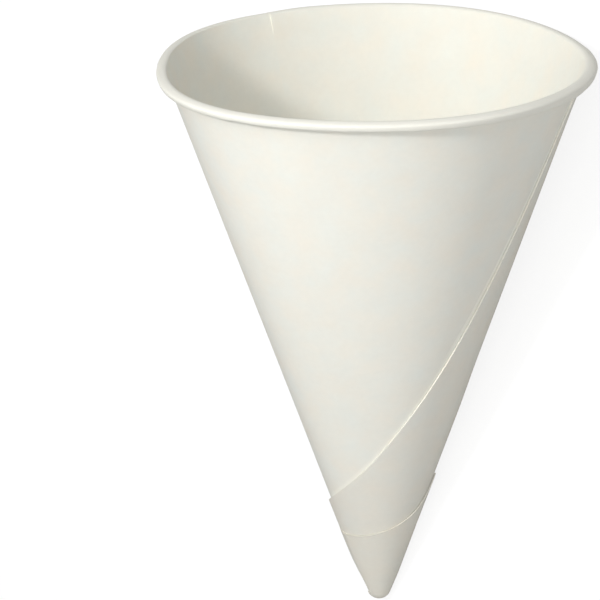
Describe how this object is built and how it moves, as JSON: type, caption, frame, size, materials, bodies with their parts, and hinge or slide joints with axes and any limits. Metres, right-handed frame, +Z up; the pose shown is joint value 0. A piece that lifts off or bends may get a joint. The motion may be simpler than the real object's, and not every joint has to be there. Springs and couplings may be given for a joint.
{
  "type": "cone paper cup",
  "caption": "Cone-shaped disposable paper cup wound from one sheet of white paper, with a rolled rim and a blunt closed point.",
  "frame": {"origin": "on the floor that the cup lies on, under the middle of its outline", "axes": "+Z up; +Y from the closed point towards the mouth, whose axis rises about 21 degrees from the floor; the heavier, overlapped side of the wall is underneath"},
  "size_m": [0.0732, 0.0996, 0.0682],
  "materials": {
    "paper": "uncoated white paper, matt, with a fine mottle"
  },
  "bodies": {
    "root": {"cone_cup": "paper"}
  },
  "joints": []
}
